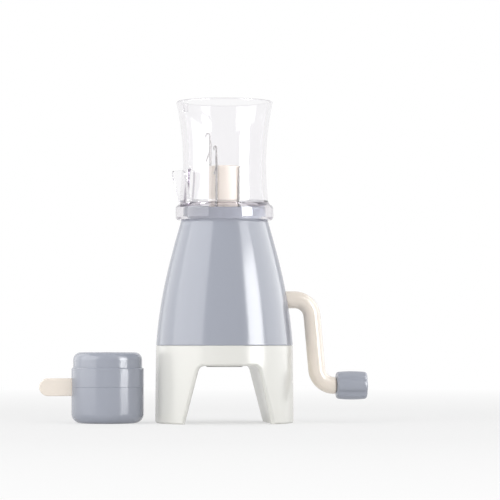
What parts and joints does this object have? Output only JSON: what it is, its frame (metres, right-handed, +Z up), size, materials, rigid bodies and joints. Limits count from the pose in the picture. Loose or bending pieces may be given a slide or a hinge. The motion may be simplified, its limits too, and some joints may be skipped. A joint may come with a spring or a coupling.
{
  "type": "i-cord maker",
  "caption": "Hand-cranked i-cord maker: round body on arched feet, clear hood around latch needles on a geared drum, side crank with turning knob, push-button cord weight.",
  "frame": {"origin": "on the needle drum's axis, in the plane that the feet stand on", "axes": "+Z up along the needle drum's axis, +X the side the crank comes out of, -Y the front; the arch between the feet runs through along Y"},
  "size_m": [0.1719, 0.072, 0.1687],
  "materials": {
    "shell_grey": "moulded, satin to glossy, cool grey",
    "base_white": "moulded, glossy, warm white",
    "clear_hood": "clear, polished, thick walls",
    "drum_cream": "moulded, satin, cream",
    "inner_white": "moulded, plain",
    "gear_plastic": "moulded, slippery",
    "crank_cream": "moulded, glossy, warm white",
    "knob_grey": "moulded, satin, blue grey",
    "needle_steel": "drawn and polished wire",
    "screw_steel": "plain screws",
    "ballast_iron": "rough, dark"
  },
  "bodies": {
    "body": {"base": "base_white", "chassis": "inner_white", "upper_shell": "shell_grey", "hood": "clear_hood", "cam_ring": "inner_white", "cam_screws": "screw_steel", "crank_bush": "gear_plastic", "base_screws": "screw_steel"},
    "crank": {"crank_arm": "crank_cream", "crank_shaft": "screw_steel", "crank_pinion": "gear_plastic", "shaft_clip": "screw_steel", "knob_screw": "screw_steel"},
    "knob": {"knob": "knob_grey"},
    "drum": {"needle_drum": "drum_cream", "drum_gear": "gear_plastic"},
    "needle_1": {"needle_1": "needle_steel", "latch_rivet_1": "needle_steel"},
    "needle_2": {"needle_2": "needle_steel", "latch_rivet_2": "needle_steel"},
    "needle_3": {"needle_3": "needle_steel", "latch_rivet_3": "needle_steel"},
    "needle_4": {"needle_4": "needle_steel", "latch_rivet_4": "needle_steel"},
    "latch_1": {"latch_1": "needle_steel"},
    "latch_2": {"latch_2": "needle_steel"},
    "latch_3": {"latch_3": "needle_steel"},
    "latch_4": {"latch_4": "needle_steel"},
    "weight": {"weight_lower": "shell_grey", "weight_upper": "shell_grey", "weight_ballast": "ballast_iron", "weight_spring": "screw_steel"},
    "weight_button": {"weight_button": "crank_cream"}
  },
  "joints": [
    {"name": "crank_turn", "type": "hinge", "parent": "body", "child": "crank", "pos_m": [0, 0, 0.0645], "axis": [1, 0, 0], "continuous": true},
    {"name": "knob_spin", "type": "hinge", "parent": "crank", "child": "knob", "pos_m": [0.067, 0, 0.0195], "axis": [1, 0, 0], "continuous": true},
    {"name": "drum_turn", "type": "hinge", "parent": "body", "child": "drum", "pos_m": [0, 0, 0.1], "axis": [0, 0, 1], "continuous": true},
    {"name": "needle_1_slide", "type": "slide", "parent": "drum", "child": "needle_1", "axis": [0, 0, 1], "range_m": [-0.01801, 0.00169]},
    {"name": "needle_2_slide", "type": "slide", "parent": "drum", "child": "needle_2", "axis": [0, 0, 1], "range_m": [-0.01032, 0.00938]},
    {"name": "needle_3_slide", "type": "slide", "parent": "drum", "child": "needle_3", "axis": [0, 0, 1], "range_m": [0, 0.0197]},
    {"name": "needle_4_slide", "type": "slide", "parent": "drum", "child": "needle_4", "axis": [0, 0, 1], "range_m": [0, 0.0197]},
    {"name": "latch_1_swing", "type": "hinge", "parent": "needle_1", "child": "latch_1", "pos_m": [-0.00731, 0.00475, 0.14381], "axis": [0.5446, 0.8387, 0], "range_deg": [0, 135]},
    {"name": "latch_2_swing", "type": "hinge", "parent": "needle_2", "child": "latch_2", "pos_m": [-0.00475, -0.00731, 0.13612], "axis": [-0.8387, 0.5446, 0], "range_deg": [0, 135]},
    {"name": "latch_3_swing", "type": "hinge", "parent": "needle_3", "child": "latch_3", "pos_m": [0.00731, -0.00475, 0.1258], "axis": [-0.5446, -0.8387, 0], "range_deg": [0, 135]},
    {"name": "latch_4_swing", "type": "hinge", "parent": "needle_4", "child": "latch_4", "pos_m": [0.00475, 0.00731, 0.1258], "axis": [0.8387, -0.5446, 0], "range_deg": [0, 135]},
    {"name": "weight_lift", "type": "slide", "parent": "body", "child": "weight", "axis": [0, 0, 1], "range_m": [0, 0.1]},
    {"name": "button_press", "type": "slide", "parent": "weight", "child": "weight_button", "axis": [1, 0, 0], "range_m": [0, 0.006], "stiffness_N_per_m": 600, "springref_m": -0.003, "deforming": ["weight_spring"]}
  ],
  "couplings": [
    {"joint": "drum_turn", "follows": "crank_turn", "ratio": -0.5}
  ]
}
